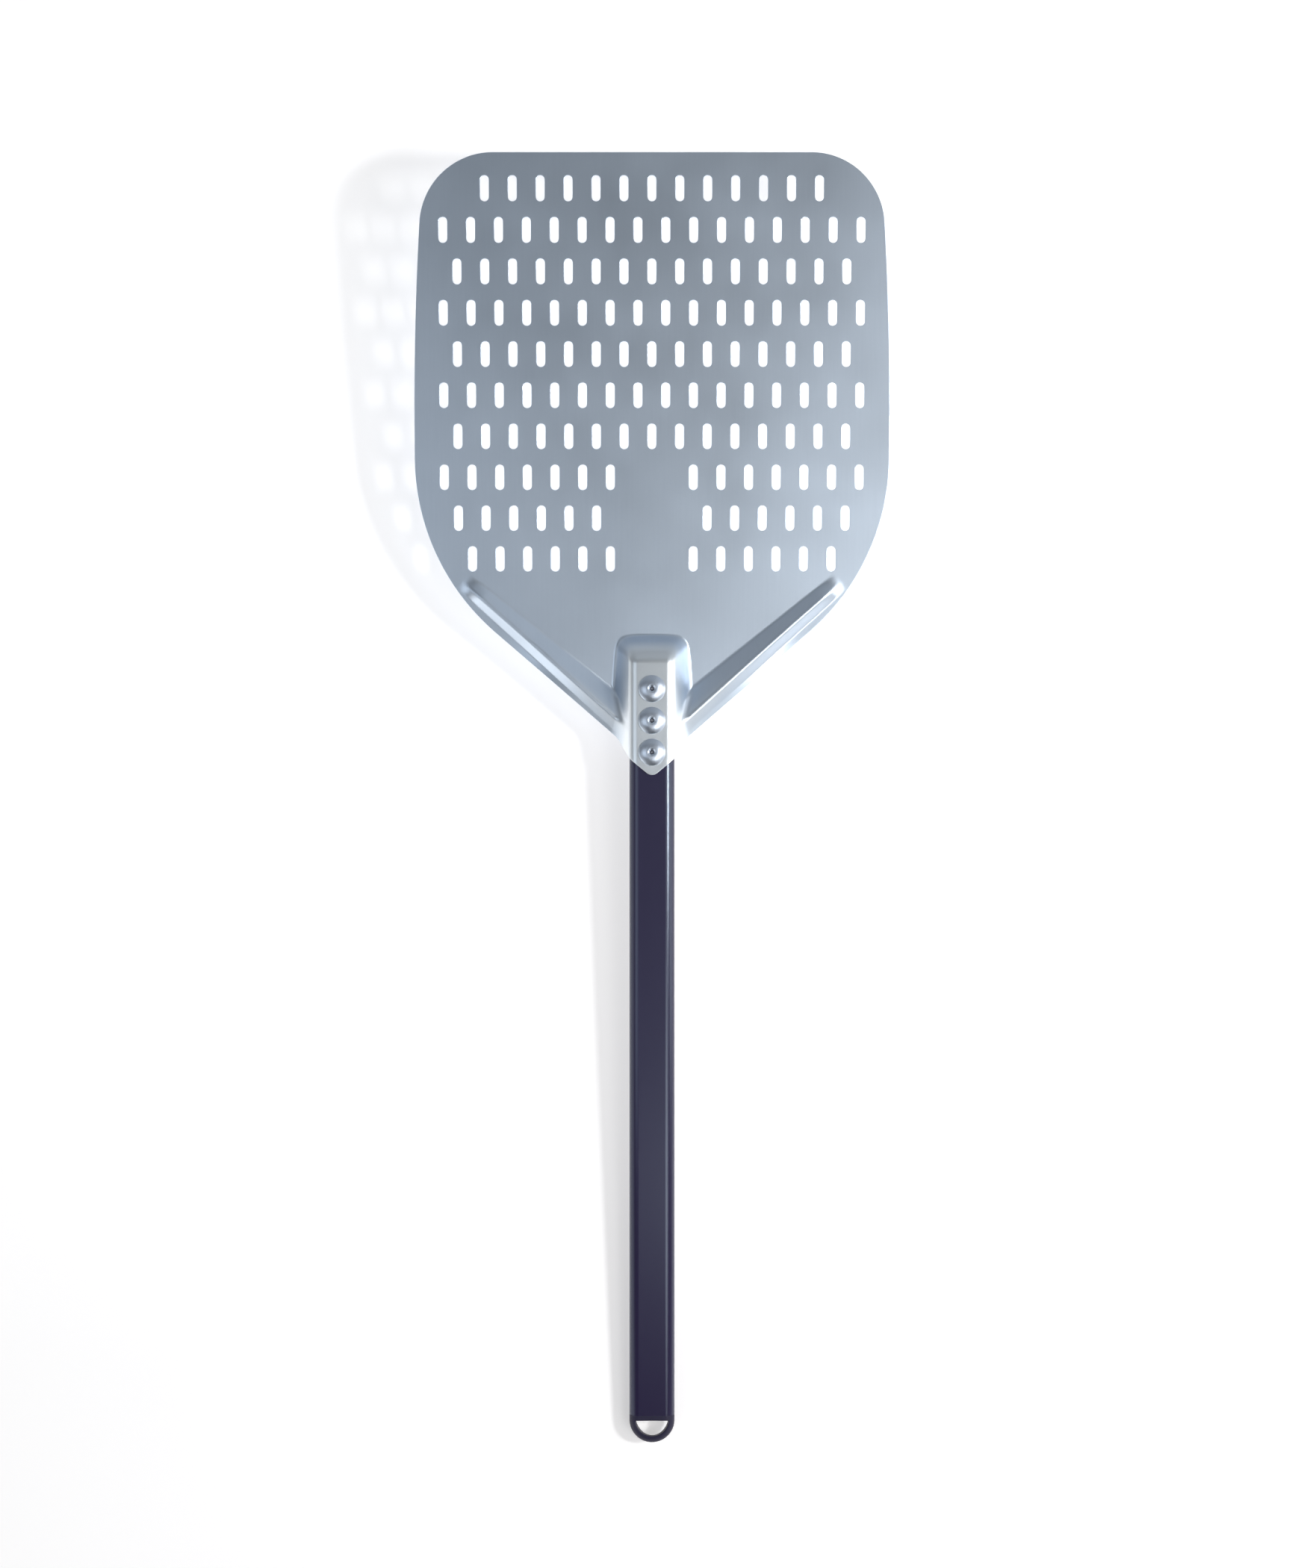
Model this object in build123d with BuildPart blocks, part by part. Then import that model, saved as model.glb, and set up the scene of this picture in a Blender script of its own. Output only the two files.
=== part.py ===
"""Pizza peel: a stamped, slotted aluminium blade riveted onto a flat-oval handle tube.

Millimetres. The blade's flat underside lies on z = 0 and its front edge faces +Y. The handle
leaves the back of the blade towards -Y and climbs by handle_rise. x = 0 is the mid-plane, and
y = 0 is half-way along the whole peel. Distances "back" run from the front edge towards -Y.
"""
from build123d import *
from math import cos, radians, sin, tan
import os

os.makedirs("parts", exist_ok=True)

# ---- driving dimensions -------------------------------------------------------------------
overall_length = 895.0
handle_rise = 5.0            # degrees between the blade and the handle

# blade outline
sheet = 1.5                  # sheet thickness
blade_half_width = 165.5
front_half_width = 157.5     # where the side curve would meet the front edge
side_mid_half_width = 163.5  # half-way along the side curve
side_length = 190.0          # the side curve ends parallel to the mid-plane
rear_corner_back = 210.0
rear_corner_radius = 160.0
rear_edge_angle = 40.8       # of the straight rear edges, from the X axis
front_corner_radius = 51.0
neck_half_width = 24.9
flank_angle = 56.5           # of the edges between neck and tongue
neck_radius = 14.0
tongue_half_width = 15.8     # of the V-shaped tongue on the handle
tongue_angle = 39.0
tongue_tip_radius = 4.0

# slots
slot_width = 5.9
slot_length = 17.6
slot_pitch = 19.3
row_pitch = 28.35
first_row_back = 24.6
# first and last slot of each row on one side of the mid-plane, in pitches
slot_rows = [(0, 6), (0.5, 7.5), (0, 7), (0.5, 7.5), (0, 7),
             (0.5, 7.5), (0, 7), (1.5, 7.5), (2, 7), (1.5, 6.5)]

# handle tube
tube_width = 31.5
tube_height = 16.0
tube_radius = 6.5
tube_wall = 1.2
tube_length = 522.0
tube_floor_gap = 0.6         # under the tube's front end

# end cap: a plug in the tube and a hanging loop with a D-shaped eye
cap_neck = 4.0
plug_length = 25.0
plug_gap = 0.1
plug_wall = 2.5
eye_radius = 11.6
eye_setback = 0.8            # from the eye's flat side to the centre of its arc
eye_flat = 0.4               # the flat side, ahead of the loop's centre
eye_corner = 1.2

# hood pressed over the tube
hood_gap = 0.15
hood_top_half_width = 14.33  # to the sharp corner under the shoulder
hood_wall_angle = 55.5
hood_shoulder = 8.3
hood_crest_ahead = 3.1       # from the tube's front end
hood_front_angle = 37.2      # to the handle's axis
hood_crest_radius = 5.0
hood_length = 90.0

# ribs along the rear edges
rib_half_width = 113.4       # where the rib's inner foot starts,
rib_back = 302.0             # and how far back
rib_angle = 38.6             # of the inner foot, from the X axis
rib_crest_half = 1.6
margin_overrun = 14.0        # the ribs' outer side is built past the blade's edge
# station along the rib, crest height, height at the edge, inner foot to crest, inner to outer foot
rib_stations = [(-15.0, -0.3, -0.4, 7.5, 13.0), (-6.0, 3.6, -0.3, 7.7, 14.0),
                (45.0, 5.3, -0.3, 10.1, 17.0), (131.0, 10.3, 6.8, 14.3, 22.0)]

# blind rivets: a body and the steel mandrel left in it
rivet_places = {"front": 15.5, "middle": 37.6, "rear": 59.7}  # behind the tube's front end
rivet_head_radius = 9.4
rivet_head_height = 3.0
rivet_rim = 0.5
dome_swell = (0.62, 0.72)    # a point half-way down the dome, in head radii and heights
dimple_radius = 2.9
dimple_depth = 0.9
shank_radius = 3.15
shank_gap = 0.05
bulb_radius = 4.6
bulb_length = 5.0
bore_radius = 1.55
mandrel_radius = 1.5
mandrel_setback = 1.0
mandrel_head_radius = 2.4
mandrel_head_length = 2.5

below = 40.0                 # how far the forming blocks reach under the sheet

# ---- shared places and planes -------------------------------------------------------------
rise_cos, rise_sin = cos(radians(handle_rise)), sin(radians(handle_rise))
cap_length = cap_neck + tube_width / 2
hood_top = tube_height / 2 + hood_gap + sheet
# how far back the rounded end of the cap reaches from the tube's front end
handle_reach = ((tube_length + cap_length - tube_radius) * rise_cos
                + (tube_height / 2 - tube_radius) * rise_sin + tube_radius)


def back(distance):
    """World Y of a point that far behind the front edge."""
    return overall_length / 2 - distance


handle_origin = (0, back(overall_length - handle_reach), tube_floor_gap + tube_height / 2 * rise_cos)
rearward = (0, -rise_cos, rise_sin)
upward = (0, rise_sin, rise_cos)
# across the tube: local x is world x, local y is up through the tube, local z runs rearward
across = Plane(origin=handle_origin, x_dir=(1, 0, 0), z_dir=rearward)
# along the tube: local x runs rearward, local y is up through the tube
along = Plane(origin=handle_origin, x_dir=rearward, z_dir=(-1, 0, 0))
# flat on the tube: local x is world -x, local y runs rearward, local z is up through the tube
flat = Plane(origin=handle_origin, x_dir=(-1, 0, 0), z_dir=upward)


# ---- blade --------------------------------------------------------------------------------
def slot_centres():
    """Centres of all slots, row by row from the front."""
    centres = []
    for row, (first, last) in enumerate(slot_rows):
        y = back(first_row_back + row * row_pitch)
        for step in range(int(last - first) + 1):
            x = (first + step) * slot_pitch
            centres += [(x, y)] if x == 0 else [(x, y), (-x, y)]
    return centres


def blade_prism():
    """The blade's outline with its slots, as a tall block."""
    turn = radians(90 - rear_edge_angle)
    corner_x = blade_half_width - rear_corner_radius * (1 - cos(turn))
    corner_back = rear_corner_back + rear_corner_radius * sin(turn)
    arc_mid_x = blade_half_width - rear_corner_radius * (1 - cos(turn / 2))
    arc_mid_back = rear_corner_back + rear_corner_radius * sin(turn / 2)
    neck_back = corner_back + (corner_x - neck_half_width) * tan(radians(rear_edge_angle))
    tongue_back = neck_back + (neck_half_width - tongue_half_width) * tan(radians(flank_angle))
    tip_back = tongue_back + tongue_half_width * tan(radians(tongue_angle))

    middle = (0, back(0))
    front = (front_half_width, back(0))
    side_mid = (side_mid_half_width, back(side_length / 2))
    side_end = (blade_half_width, back(side_length))
    arc_start = (blade_half_width, back(rear_corner_back))
    arc_mid = (arc_mid_x, back(arc_mid_back))
    arc_end = (corner_x, back(corner_back))
    neck = (neck_half_width, back(neck_back))
    tongue = (tongue_half_width, back(tongue_back))
    tip = (0, back(tip_back))
    with BuildPart() as prism:
        with BuildSketch(Plane.XY.offset(-below)) as outline:
            with BuildLine():
                Line(middle, front)
                ThreePointArc(front, side_mid, side_end)
                Line(side_end, arc_start)
                ThreePointArc(arc_start, arc_mid, arc_end)
                Polyline(arc_end, neck, tongue, tip, middle)
            make_face()
            mirror(about=Plane.YZ)
            fillet(outline.vertices().filter_by_position(Axis.Y, front[1] - 1, front[1] + 1),
                   front_corner_radius)
            fillet(outline.vertices().filter_by_position(Axis.Y, neck[1] - 1, neck[1] + 1), neck_radius)
            fillet(outline.vertices().sort_by(Axis.Y)[0], tongue_tip_radius)
            with Locations(*slot_centres()):
                SlotOverall(slot_length, slot_width, rotation=90, mode=Mode.SUBTRACT)
        extrude(amount=3 * below)
    return prism.part


def hood_form(sink):
    """Everything under the hood's skin, the skin sunk by that much."""
    top = hood_top - sink
    half = hood_top_half_width - sink * tan(radians(hood_wall_angle / 2))
    foot = half + (top + below) / tan(radians(hood_wall_angle))
    crest = -hood_crest_ahead + sink * tan(radians(hood_front_angle / 2))
    toe = crest - (top + below) / tan(radians(hood_front_angle))
    with BuildPart() as hood:
        with BuildSketch(across.offset(toe)):
            with BuildLine():
                Polyline((-foot, -below), (-half, top), (half, top), (foot, -below), close=True)
            section = make_face()
            fillet(section.vertices().sort_by(Axis.Y)[-2:], hood_shoulder - sink)
        extrude(amount=hood_length - toe)
        with BuildSketch(along):
            with BuildLine():
                Polyline((toe, -below), (crest, top), (hood_length, top), (hood_length, -below), close=True)
            profile = make_face()
            fillet(profile.vertices().sort_by(Axis.Y)[-2:].sort_by(Axis.X)[0], hood_crest_radius - sink)
        extrude(amount=2 * below, both=True, mode=Mode.INTERSECT)
    return hood.part


def rib_form(sink):
    """Everything under the right-hand rib's skin and the edge outside it."""
    along_rib = (-cos(radians(rib_angle)), -sin(radians(rib_angle)), 0)
    outward = (sin(radians(rib_angle)), -cos(radians(rib_angle)), 0)
    skin = sheet - sink
    with BuildPart() as rib:
        for station, crest, edge, to_crest, to_foot in rib_stations:
            foot = (rib_half_width + station * along_rib[0], back(rib_back) + station * along_rib[1], 0)
            overrun = to_foot + margin_overrun
            with BuildSketch(Plane(origin=foot, x_dir=outward, z_dir=along_rib)):
                with BuildLine():
                    Polyline((-1, -below), (-1, skin - crest / to_crest),
                             (to_crest - rib_crest_half, skin + crest),
                             (to_crest + rib_crest_half, skin + crest),
                             (to_foot, skin + edge), (overrun, skin + edge), (overrun, -below),
                             close=True)
                make_face()
        loft(ruled=True)
    return rib.part


def pressing(sink):
    """Everything under the blade's skin, the skin sunk by that much."""
    hood = hood_form(sink)
    rib = rib_form(sink)
    with BuildPart() as form:
        with BuildSketch(Plane.XY.offset(-below)):
            Rectangle(3 * blade_half_width, overall_length)
        extrude(amount=below + sheet - sink)
        add(hood)
        add(rib)
        add(mirror(rib, about=Plane.YZ))
    return form.part


shank_places = [(0, place) for place in rivet_places.values()]
skin, hollow, prism = pressing(0), pressing(sheet), blade_prism()
with BuildPart() as blade:
    add(skin)
    add(hollow, mode=Mode.SUBTRACT)
    add(prism, mode=Mode.INTERSECT)
    with BuildSketch(flat.offset(hood_top)):
        with Locations(*shank_places):
            Circle(shank_radius + shank_gap)
    extrude(amount=2 * sheet, both=True, mode=Mode.SUBTRACT)
blade.part.label = "blade"
export_step(blade.part, "parts/blade.step")

# ---- handle tube --------------------------------------------------------------------------
with BuildPart() as handle_tube:
    with BuildSketch(across):
        RectangleRounded(tube_width, tube_height, tube_radius)
        RectangleRounded(tube_width - 2 * tube_wall, tube_height - 2 * tube_wall,
                         tube_radius - tube_wall, mode=Mode.SUBTRACT)
    extrude(amount=tube_length)
    with BuildSketch(flat.offset(tube_height / 2)):
        with Locations(*shank_places):
            Circle(shank_radius + shank_gap)
    extrude(amount=2 * tube_wall, both=True, mode=Mode.SUBTRACT)
handle_tube.part.label = "handle_tube"
export_step(handle_tube.part, "parts/handle_tube.step")


# ---- end cap ------------------------------------------------------------------------------
def plug_outline(shrink):
    """The tube's bore, smaller all round by that much."""
    inset = 2 * (tube_wall + shrink)
    RectangleRounded(tube_width - inset, tube_height - inset, tube_radius - tube_wall - shrink)


loop_centre = tube_length + cap_neck
eye_start = loop_centre - eye_flat
with BuildPart() as end_cap:
    with BuildSketch(across.offset(tube_length)):
        RectangleRounded(tube_width, tube_height, tube_radius)
    extrude(amount=cap_neck)
    with BuildSketch(across.offset(loop_centre)):
        RectangleRounded(tube_width, tube_height, tube_radius)
        with Locations((tube_width / 2, 0)):
            Rectangle(tube_width, tube_height, mode=Mode.SUBTRACT)
    revolve(axis=Axis(across.offset(loop_centre).origin, upward), revolution_arc=180)
    with BuildSketch(flat) as eye:
        with Locations((0, eye_start - eye_setback)):
            Circle(eye_radius)
        with Locations((0, eye_start)):
            Rectangle(4 * eye_radius, 4 * eye_radius, align=(Align.CENTER, Align.MAX), mode=Mode.SUBTRACT)
        fillet(eye.vertices(), eye_corner)
    extrude(amount=tube_height, both=True, mode=Mode.SUBTRACT)
    with BuildSketch(across.offset(tube_length - plug_length)):
        plug_outline(plug_gap)
    extrude(amount=plug_length)
    with BuildSketch(across.offset(tube_length - plug_length)):
        plug_outline(plug_gap + plug_wall)
    extrude(amount=plug_length - plug_wall, mode=Mode.SUBTRACT)
end_cap.part.label = "end_cap"
export_step(end_cap.part, "parts/end_cap.step")


# ---- blind rivets -------------------------------------------------------------------------
def rivet_body(place):
    """Domed head on the hood, shank through hood and tube, bulb under the tube's top wall."""
    seat, crown = hood_top, hood_top + rivet_head_height
    dimple_floor = crown - dimple_depth
    bulb_top = tube_height / 2 - tube_wall
    bulb_end = bulb_top - bulb_length
    rim = (rivet_head_radius, seat + rivet_rim)
    dome_mid = (dome_swell[0] * rivet_head_radius, seat + dome_swell[1] * rivet_head_height)
    with BuildPart() as body:
        with BuildSketch(across.offset(place)):
            with BuildLine():
                Line((bore_radius, dimple_floor), (dimple_radius, crown))
                ThreePointArc((dimple_radius, crown), dome_mid, rim)
                Polyline(rim, (rivet_head_radius, seat), (shank_radius, seat), (shank_radius, bulb_top),
                         (bulb_radius, bulb_top), (bulb_radius, bulb_end), (bore_radius, bulb_end),
                         (bore_radius, dimple_floor))
            make_face()
        revolve(axis=Axis(across.offset(place).origin, upward))
    return body.part


def rivet_mandrel(place):
    """Steel pin left in the rivet, its head under the bulb."""
    foot = tube_height / 2 - tube_wall - bulb_length
    top = hood_top + rivet_head_height - dimple_depth - mandrel_setback
    with BuildPart() as pin:
        with BuildSketch(flat.offset(foot)):
            with Locations((0, place)):
                Circle(mandrel_radius)
        extrude(amount=top - foot)
        with BuildSketch(flat.offset(foot)):
            with Locations((0, place)):
                Circle(mandrel_head_radius)
        extrude(amount=-mandrel_head_length)
    return pin.part


for name, place in rivet_places.items():
    for kind, make in (("rivet", rivet_body), ("mandrel", rivet_mandrel)):
        piece = make(place)
        piece.label = f"{kind}_{name}"
        export_step(piece, f"parts/{piece.label}.step")
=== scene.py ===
from math import cos, hypot, pi, radians, sin, sqrt, tan

import bpy
import numpy as np
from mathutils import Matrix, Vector
from mathutils.geometry import delaunay_2d_cdt


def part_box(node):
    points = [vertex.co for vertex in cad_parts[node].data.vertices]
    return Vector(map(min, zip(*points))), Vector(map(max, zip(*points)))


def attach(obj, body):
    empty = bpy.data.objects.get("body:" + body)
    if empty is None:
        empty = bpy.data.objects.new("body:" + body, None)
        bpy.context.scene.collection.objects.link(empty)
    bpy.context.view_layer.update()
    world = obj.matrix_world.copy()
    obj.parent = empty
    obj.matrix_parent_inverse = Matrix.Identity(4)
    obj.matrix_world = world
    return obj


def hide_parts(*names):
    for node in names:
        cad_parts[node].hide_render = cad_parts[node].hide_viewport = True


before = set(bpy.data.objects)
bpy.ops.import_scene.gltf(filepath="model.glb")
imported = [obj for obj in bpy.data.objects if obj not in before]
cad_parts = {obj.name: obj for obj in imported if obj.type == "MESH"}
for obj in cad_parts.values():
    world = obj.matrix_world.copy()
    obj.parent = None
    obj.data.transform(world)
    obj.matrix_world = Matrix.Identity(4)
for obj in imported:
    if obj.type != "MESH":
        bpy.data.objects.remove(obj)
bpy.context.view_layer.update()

MM = 0.001

# ---- dimensions, in millimetres, as the CAD model has them ---------------------------------
FRONT_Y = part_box("blade")[1].y / MM      # the blade's front edge
SHEET = 1.5
BLADE_HALF_WIDTH = 165.5
FRONT_HALF_WIDTH = 157.5
SIDE_MID_HALF_WIDTH = 163.5
SIDE_LENGTH = 190.0
REAR_CORNER_BACK = 210.0
REAR_CORNER_RADIUS = 160.0
REAR_EDGE_ANGLE = radians(40.8)
FRONT_CORNER_RADIUS = 51.0
NECK_HALF_WIDTH = 24.9
FLANK_ANGLE = radians(56.5)
NECK_RADIUS = 14.0
TONGUE_HALF_WIDTH = 15.8
TONGUE_ANGLE = radians(39.0)
TONGUE_TIP_RADIUS = 5.5

SLOT_WIDTH, SLOT_LENGTH = 5.9, 17.6
SLOT_PITCH, ROW_PITCH, FIRST_ROW_BACK = 19.3, 28.35, 24.6
# first and last slot of each row on one side of the middle, in pitches
SLOT_ROWS = [(0, 6), (0.5, 7.5), (0, 7), (0.5, 7.5), (0, 7),
             (0.5, 7.5), (0, 7), (1.5, 7.5), (2, 7), (1.5, 6.5)]

HANDLE_RISE = radians(5.0)
TUBE_WIDTH, TUBE_HEIGHT, TUBE_RADIUS, TUBE_WALL, TUBE_LENGTH = 31.5, 16.0, 6.5, 1.2, 522.0
HOOD_TOP = TUBE_HEIGHT / 2 + 0.15 + SHEET
HOOD_TOP_HALF_WIDTH = 14.33
HOOD_WALL_ANGLE = radians(55.5)
HOOD_SHOULDER = 8.3
HOOD_FRONT_FOOT = 333.1                  # how far back the front slope leaves the plate
HOOD_FRONT = tan(radians(58.0))
HOOD_FRONT_BOW = 0.004                   # how fast the front falls away to the sides
HOOD_BROW = 14.0                         # reach of the round between roof and front

RIB_START = (113.4, 302.0)               # half-width and distance back of the inner foot
RIB_ANGLE = radians(38.6)
RIB_FADE = 20                            # the rib rises over this length before its start
RIB_STATIONS = [-20, -6, 0, 45, 102, 131, 160]
RIB_CREST = [3.3, 3.7, 3.9, 5.3, 8.4, 10.3, 12.2]
RIB_EDGE_FROM, RIB_EDGE_SLOPE = 45, 6.8 / 86     # where and how fast the sheet's edge rises

RIVET_PLACES = {"front": 15.5, "middle": 37.6, "rear": 59.7}
RIVET_HEAD_RADIUS, RIVET_HEAD_HEIGHT, RIVET_RIM = 9.4, 3.0, 0.9
DIMPLE_RADIUS, DIMPLE_DEPTH = 2.75, 0.95
SHANK_RADIUS, BORE_RADIUS = 3.15, 1.55
BULB_RADIUS, BULB_LENGTH = 4.6, 5.0
MANDREL_RADIUS, MANDREL_HEAD_RADIUS, MANDREL_HEAD_LENGTH = 1.5, 2.4, 2.5
MANDREL_SETBACK = 1.9

# the cap's hanging loop and its eye, along the handle
CAP_NECK, LOOP_RADIUS = 4.0, TUBE_WIDTH / 2
PLUG_LENGTH, PLUG_INSET, PLUG_CHAMFER = 25.0, 1.3, 0.8
LOOP_CENTRE = TUBE_LENGTH + CAP_NECK
EYE_RADIUS, EYE_CORNER = 11.6, 1.2
EYE_FLAT = LOOP_CENTRE - 0.4             # the eye's straight side
EYE_CENTRE = EYE_FLAT - 0.8              # the middle of its arc
EYE_ROUND = 1.2                          # rounding of the eye's edges
EYE_DRAFT = 1.22                         # how much longer the eye is on the underside

EDGE_ROUND = 0.35                        # rounding of the sheet's cut edges
GRID_FINE, GRID_FLAT = 0.8, 6.0          # mesh spacing on the pressings and on the flat plate
ROW_STEP = 0.87                          # distance between rows, in mesh spacings
HOLE_REACH = 12                          # every point of a hole is nearer than this to its middle


def back(distance):
    """Y of a point that far behind the front edge."""
    return FRONT_Y - distance


# the handle's own frame: its origin is the middle of the tube's front end
RISE_COS, RISE_SIN = cos(HANDLE_RISE), sin(HANDLE_RISE)
CAP_LENGTH = CAP_NECK + TUBE_WIDTH / 2
REACH = ((TUBE_LENGTH + CAP_LENGTH - TUBE_RADIUS) * RISE_COS
         + (TUBE_HEIGHT / 2 - TUBE_RADIUS) * RISE_SIN + TUBE_RADIUS)
HANDLE_Y = back(2 * FRONT_Y - REACH)
HANDLE_Z = 0.6 + TUBE_HEIGHT / 2 * RISE_COS


def on_handle(x, rearward, up):
    """World place, in metres, of a point given across, along and above the tube's middle."""
    return Vector((x, HANDLE_Y - rearward * RISE_COS + up * RISE_SIN,
                   HANDLE_Z + rearward * RISE_SIN + up * RISE_COS)) * MM


# ---- the pressing's height ------------------------------------------------------------------
def blend_max(a, b, reach):
    """The higher of two surfaces, with a fillet where they are less than reach apart."""
    near = np.maximum(reach - np.abs(a - b), 0.0) / reach
    return np.maximum(a, b) + near * near * reach / 4


def blend_min(a, b, reach):
    """The lower of two surfaces, with a round where they are less than reach apart."""
    return -blend_max(-a, -b, reach)


def ease(t):
    """A smooth step from 0 to 1 as t goes from 0 to 1."""
    t = np.clip(t, 0.0, 1.0)
    return t * t * (3 - 2 * t)


def rib_place(x, y):
    """How far along a rib and across it a point lies, from the start of the rib's inner foot."""
    ahead, aside = y - back(RIB_START[1]), np.abs(x) - RIB_START[0]
    return (-aside * cos(RIB_ANGLE) - ahead * sin(RIB_ANGLE),
            aside * sin(RIB_ANGLE) - ahead * cos(RIB_ANGLE))


def rib_height(x, y):
    """Height of the rib and of the edge outside it, above the flat plate."""
    u, w = rib_place(x, y)
    crest_w = 7.9 + 0.049 * u
    foot_w = 14.2 + 0.06 * u
    edge_w = 18.4 + 0.045 * u
    crest = np.interp(u, RIB_STATIONS, RIB_CREST)
    edge = blend_max(u - RIB_EDGE_FROM, 0.0, 30.0) * RIB_EDGE_SLOPE
    plane_at_foot = crest + (edge - crest) * (foot_w - crest_w) / (edge_w - crest_w)
    foot = edge + (plane_at_foot - edge) * ease((u - 22) / 90)
    inner_slope = crest / crest_w
    outer_slope = (crest - foot) / (foot_w - crest_w)
    margin_slope = (foot - edge) / (edge_w - foot_w)
    crest_reach = 3.6 * (inner_slope + outer_slope) ** 2 / 2
    peak = crest + crest_reach / 4
    inner = blend_max(peak * w / crest_w, 0.0, 4.5 * inner_slope ** 2 / 2 + 0.01)
    outer = peak + (foot - peak) * (w - crest_w) / (foot_w - crest_w)
    margin = foot - margin_slope * (w - foot_w)
    outside = blend_max(outer, margin, 2.6 * (outer_slope - margin_slope) ** 2 / 2 + 0.001)
    return blend_min(inner, outside, crest_reach) * ease((u + RIB_FADE) / RIB_FADE)


def hood_height(x, y):
    """Height of the hood above the flat plate; far below it away from the hood."""
    side = np.abs(x)
    shoulder_from = HOOD_TOP_HALF_WIDTH - HOOD_SHOULDER * tan(HOOD_WALL_ANGLE / 2)
    shoulder_to = shoulder_from + HOOD_SHOULDER * sin(HOOD_WALL_ANGLE)
    on_arc = np.clip(side - shoulder_from, 0.0, HOOD_SHOULDER * sin(HOOD_WALL_ANGLE))
    up = HOOD_TOP - HOOD_SHOULDER + np.sqrt(HOOD_SHOULDER ** 2 - on_arc ** 2)
    up = up - np.maximum(side - shoulder_to, 0.0) * tan(HOOD_WALL_ANGLE)
    roof = HANDLE_Z + (HANDLE_Y - y) * RISE_SIN / RISE_COS + up / RISE_COS - SHEET
    front = (back(HOOD_FRONT_FOOT) - y) * HOOD_FRONT - HOOD_FRONT_BOW * x * x
    return blend_min(roof, front, HOOD_BROW)


def skin(x, y):
    """Height of the blade's upper face."""
    rib = rib_height(x, y)
    fillet = 3.1 - 1.3 * ease((y - back(352.0)) / 14.0) + 4.0 * ease(rib / 2.5)
    return SHEET + blend_max(rib, hood_height(x, y), fillet)


def skin_points(flat_points):
    """Points on the upper face and the face's normals there."""
    x, y = flat_points[:, 0], flat_points[:, 1]
    step = 0.02
    slope_x = (skin(x + step, y) - skin(x - step, y)) / (2 * step)
    slope_y = (skin(x, y + step) - skin(x, y - step)) / (2 * step)
    normals = np.column_stack([-slope_x, -slope_y, np.ones_like(x)])
    normals /= np.linalg.norm(normals, axis=1)[:, None]
    return np.column_stack([x, y, skin(x, y)]), normals


# ---- the blade's outline and slots ----------------------------------------------------------
def arc_points(centre, radius, start, end, spacing=1.2):
    """Points along an arc, its two ends included, about that far apart."""
    count = max(3, int(abs(end - start) * radius / spacing))
    angles = np.linspace(start, end, count + 1)
    return [(centre[0] + radius * cos(a), centre[1] + radius * sin(a)) for a in angles]


def rounded_corner(before, corner, after, radius):
    """A fillet between two straight edges, as points."""
    a, b, c = (np.array(p, float) for p in (before, corner, after))
    to_a, to_c = (a - b) / np.linalg.norm(a - b), (c - b) / np.linalg.norm(c - b)
    half = np.arccos(np.dot(to_a, to_c)) / 2
    middle = b + (to_a + to_c) / np.linalg.norm(to_a + to_c) * radius / sin(half)
    first, last = b + to_a * radius / tan(half), b + to_c * radius / tan(half)
    start = np.arctan2(*(first - middle)[::-1])
    turn = np.arctan2(*(last - middle)[::-1]) - start
    turn = (turn + pi) % (2 * pi) - pi
    return arc_points(middle, radius, start, start + turn, 0.5)


def side_arc():
    """Centre and radius of the side's large arc, through its two ends and its middle."""
    p, q, r = ((FRONT_HALF_WIDTH, back(0)), (SIDE_MID_HALF_WIDTH, back(SIDE_LENGTH / 2)),
               (BLADE_HALF_WIDTH, back(SIDE_LENGTH)))
    sides = np.array([[q[0] - p[0], q[1] - p[1]], [r[0] - p[0], r[1] - p[1]]]) * 2
    squares = np.array([q[0] ** 2 + q[1] ** 2 - p[0] ** 2 - p[1] ** 2,
                        r[0] ** 2 + r[1] ** 2 - p[0] ** 2 - p[1] ** 2])
    cx, cy = np.linalg.solve(sides, squares)
    return cx, cy, hypot(p[0] - cx, p[1] - cy)


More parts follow.
